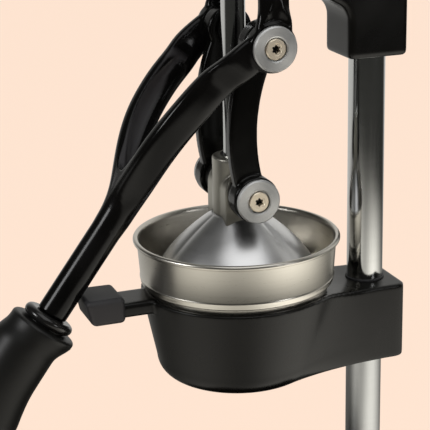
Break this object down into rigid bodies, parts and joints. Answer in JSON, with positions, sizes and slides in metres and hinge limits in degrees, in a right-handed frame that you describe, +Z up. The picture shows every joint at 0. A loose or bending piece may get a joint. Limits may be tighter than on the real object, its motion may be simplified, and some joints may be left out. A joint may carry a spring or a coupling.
{
  "type": "citrus press",
  "caption": "Free-standing lever citrus press: a forked lever drives a bell down a guide rod onto a reamer cone in a spouted bowl.",
  "frame": {"origin": "on the table, under the centre of the overall box with the lever closed", "axes": "+Z up along the column, -Y towards the side the lever opens to, X across the press"},
  "size_m": [0.17, 0.3456, 0.4919],
  "materials": {
    "black_casting": "satin",
    "black_rubber": "matte",
    "black_plastic": "matte",
    "polished_steel": "polished",
    "satin_stainless": "brushed",
    "cast_aluminium": "satin",
    "bronze": "satin",
    "turned_steel": "turned",
    "screw_steel": "satin"
  },
  "bodies": {
    "frame": {"base_plate": "black_casting", "base_feet": "black_rubber", "foot_screws": "screw_steel", "column": "polished_steel", "column_plug": "turned_steel", "column_bolt": "screw_steel", "column_washer": "screw_steel", "bowl_holder": "black_casting", "holder_screws": "screw_steel", "stop_pad": "black_rubber", "juice_bowl": "satin_stainless", "strainer_plate": "satin_stainless", "reamer_cone": "cast_aluminium", "head_casting": "black_casting", "head_screws": "screw_steel", "guide_bushes": "bronze", "pivot_pins": "turned_steel", "pivot_discs": "turned_steel", "pivot_screws": "screw_steel"},
    "lever": {"lever_casting": "black_casting", "pivot_bushes": "bronze", "knee_pins": "turned_steel", "knee_discs": "turned_steel", "knee_screws": "screw_steel", "grip_ring": "black_rubber", "grip_washer": "black_rubber", "grip": "black_plastic"},
    "press": {"guide_rod": "polished_steel", "rod_cap": "black_plastic", "rod_wiper": "polished_steel", "press_hub": "cast_aluminium", "hub_screw": "screw_steel", "press_bell": "satin_stainless", "bell_washer": "screw_steel", "bell_screw": "screw_steel", "lug_pins": "turned_steel", "lug_spacers": "black_casting", "lug_discs": "turned_steel", "lug_screws": "screw_steel"},
    "link_right": {"link_right": "black_casting", "knee_sleeve_right": "black_casting"},
    "link_left": {"link_left": "black_casting", "knee_sleeve_left": "black_casting"}
  },
  "joints": [
    {"name": "lever_swing", "type": "hinge", "parent": "frame", "child": "lever", "pos_m": [0, 0.04482, 0.45191], "axis": [-1, 0, 0], "range_deg": [0, 82]},
    {"name": "press_slide", "type": "slide", "parent": "frame", "child": "press", "axis": [0, 0, 1], "range_m": [0, 0.09348]},
    {"name": "link_right_swing", "type": "hinge", "parent": "press", "child": "link_right", "pos_m": [0.034, 0.04482, 0.27325], "axis": [1, 0, 0], "range_deg": [0, 53.52]},
    {"name": "link_left_swing", "type": "hinge", "parent": "press", "child": "link_left", "pos_m": [-0.034, 0.04482, 0.27325], "axis": [1, 0, 0], "range_deg": [0, 53.52]}
  ],
  "couplings": [
    {"joint": "press_slide", "follows": "lever_swing", "m_per_rad": 0.06528},
    {"joint": "link_right_swing", "follows": "lever_swing", "ratio": 0.65209},
    {"joint": "link_left_swing", "follows": "lever_swing", "ratio": 0.65209}
  ]
}
